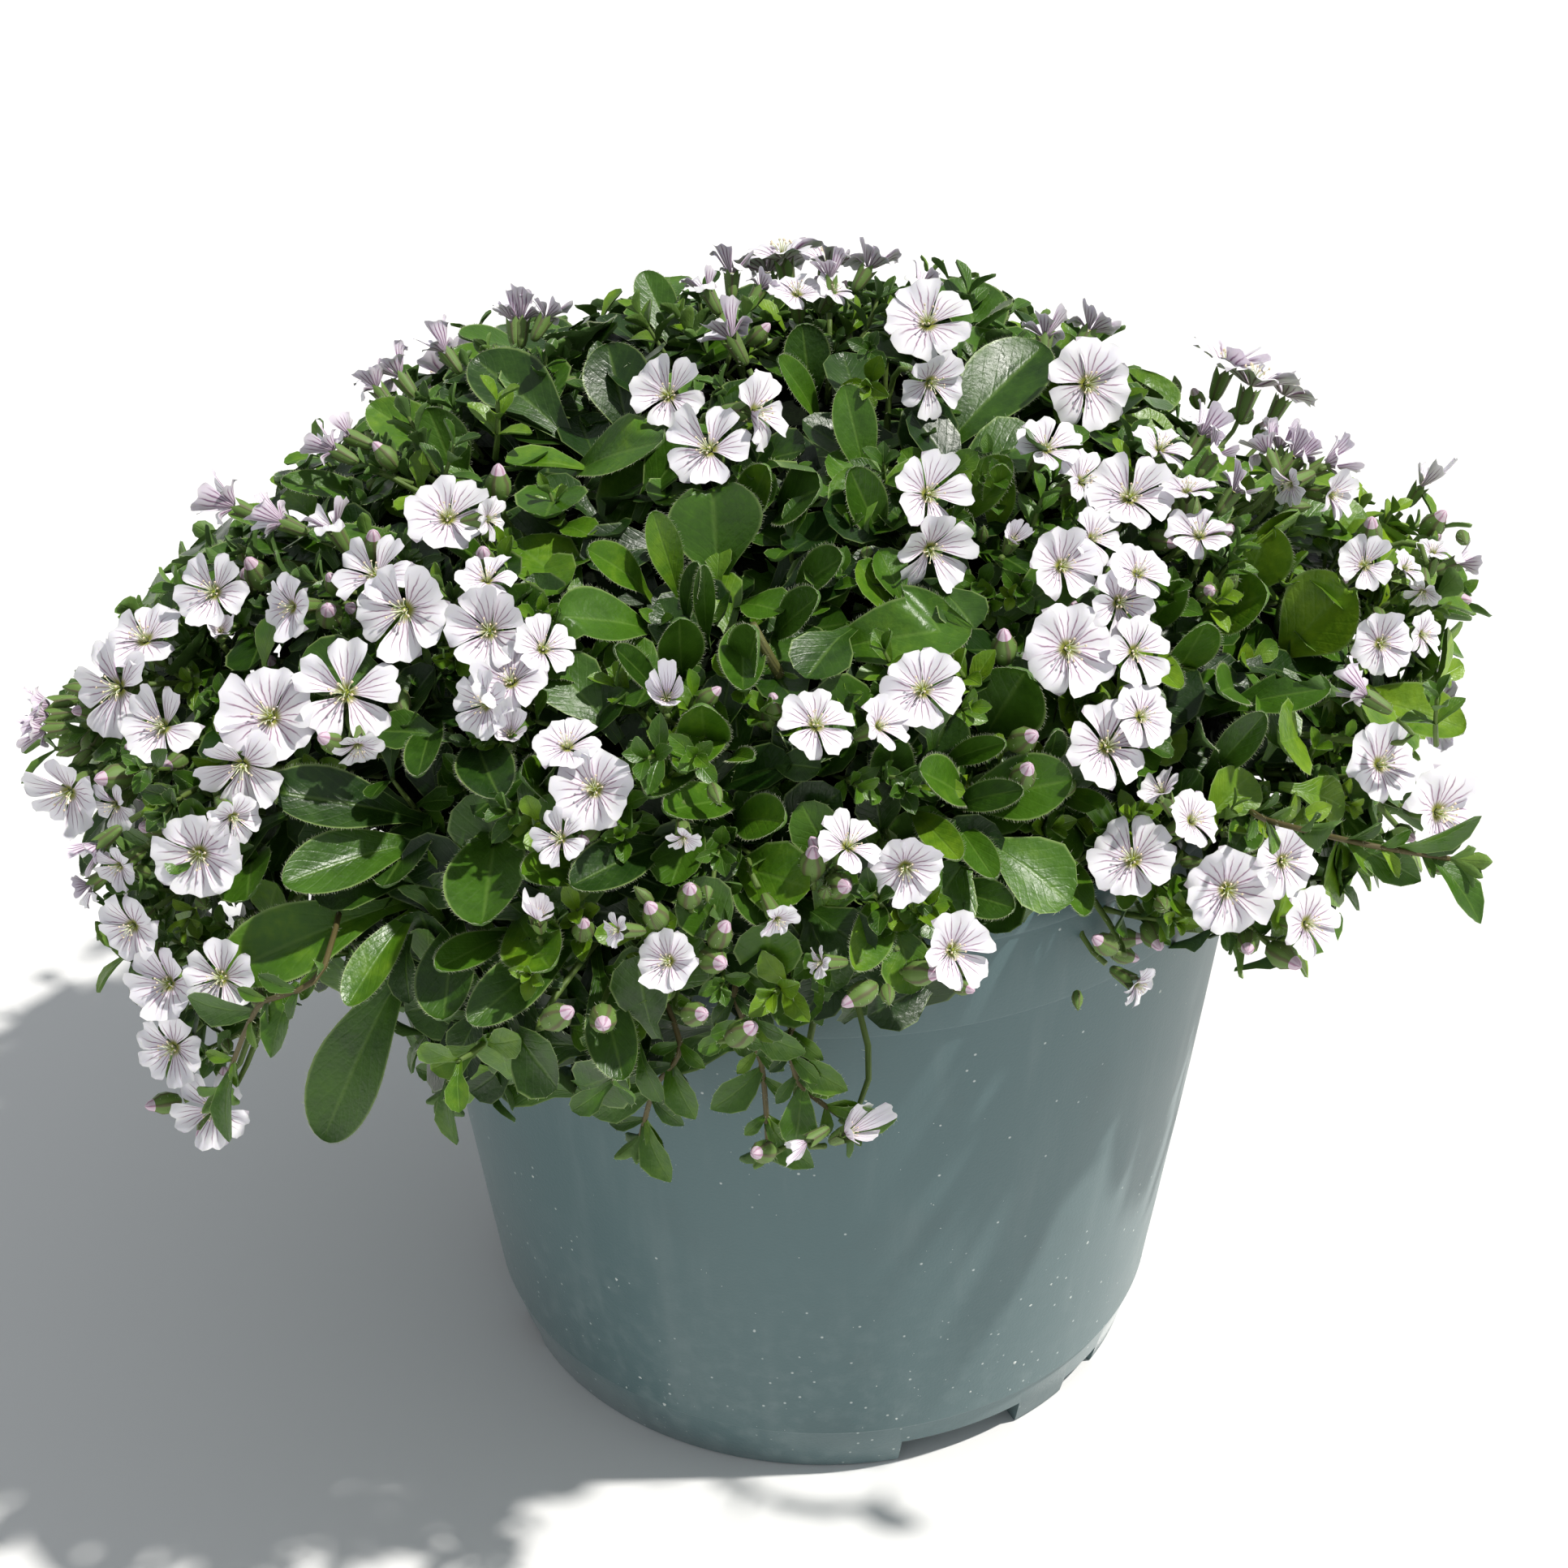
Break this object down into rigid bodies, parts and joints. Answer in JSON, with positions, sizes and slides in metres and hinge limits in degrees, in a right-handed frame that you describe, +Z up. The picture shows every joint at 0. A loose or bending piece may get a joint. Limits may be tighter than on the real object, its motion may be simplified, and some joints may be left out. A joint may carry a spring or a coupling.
{
  "type": "potted gypsophila cerastioides",
  "caption": "Cushion plant of spoon-shaped leaves and small white five-petalled blooms, trailing over a tapered grey nursery pot with a collar and a notched foot.",
  "frame": {"origin": "middle of the pot's underside, on the surface that the pot stands on", "axes": "+Z up, -Y towards the front of the plant as pictured, +X to the right in the picture"},
  "size_m": [0.2174, 0.1898, 0.1736],
  "materials": {
    "pot_plastic": "blue-grey recycled plastic, dusty, with fine pale flecks",
    "soil": "dark moist potting mix of peat and bark",
    "foliage": "glossy green leaves with paler midribs and short pale hairs",
    "shoots": "green to red-brown hairy stems with green leaves",
    "petals": "soft white petals with thin mauve veins and yellow-green throats"
  },
  "bodies": {
    "root": {"pot": "pot_plastic", "potting_soil": "soil", "blooms_01": "petals", "blooms_02": "petals", "blooms_03": "petals", "blooms_04": "petals", "blooms_05": "petals", "blooms_06": "petals", "blooms_07": "petals", "blooms_08": "petals", "blooms_09": "petals", "blooms_10": "petals", "blooms_11": "petals", "blooms_12": "petals", "blooms_13": "petals", "blooms_14": "petals", "blooms_15": "petals", "blooms_16": "petals", "blooms_17": "petals", "blooms_18": "petals", "blooms_19": "petals", "blooms_20": "petals", "blooms_21": "petals", "blooms_22": "petals", "blooms_23": "petals", "blooms_24": "petals", "blooms_25": "petals", "blooms_26": "petals", "blooms_27": "petals", "blooms_28": "petals", "blooms_29": "petals", "blooms_30": "petals", "blooms_31": "petals", "blooms_32": "petals", "blooms_33": "petals", "blooms_34": "petals", "blooms_35": "petals", "blooms_36": "petals", "blooms_37": "petals", "blooms_38": "petals", "blooms_39": "petals", "blooms_40": "petals", "blooms_41": "petals", "blooms_42": "petals", "blooms_43": "petals", "blooms_44": "petals", "blooms_45": "petals", "blooms_46": "petals", "blooms_47": "petals", "blooms_48": "petals", "blooms_49": "petals", "blooms_50": "petals", "blooms_51": "petals", "trailing_shoot_1": "shoots", "trailing_shoot_2": "shoots", "trailing_shoot_3": "shoots", "trailing_shoot_4": "shoots", "trailing_shoot_5": "shoots", "trailing_shoot_6": "shoots", "crown_foliage": "foliage"}
  },
  "joints": []
}
